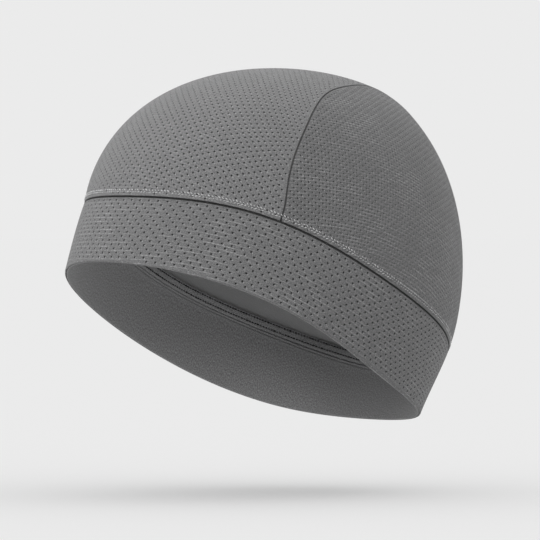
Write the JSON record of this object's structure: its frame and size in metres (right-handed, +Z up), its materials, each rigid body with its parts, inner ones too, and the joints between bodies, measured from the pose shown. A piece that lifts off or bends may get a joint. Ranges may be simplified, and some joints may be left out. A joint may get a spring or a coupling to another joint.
{
  "type": "helmet liner cap",
  "caption": "Thin stretch knit skull cap for wear under a helmet: wide centre panel, two side panels and a doubled band, shown as worn.",
  "frame": {"origin": "top of the hollow, where the crown of the head meets the cap as it is worn", "axes": "+Z up as worn, -Y toward the brow, +X toward the wearer's left ear"},
  "size_m": [0.1698, 0.2114, 0.1734],
  "materials": {
    "perforated_knit": "dark grey heather mesh knit",
    "lining_knit": "smooth dark grey knit",
    "folded_knit": "dark grey knit, seam side"
  },
  "bodies": {
    "root": {"crown_centre_panel": "perforated_knit", "crown_left_panel": "perforated_knit", "crown_right_panel": "perforated_knit", "brow_band": "perforated_knit", "band_lining": "lining_knit", "band_seam_allowance": "folded_knit"}
  },
  "joints": []
}
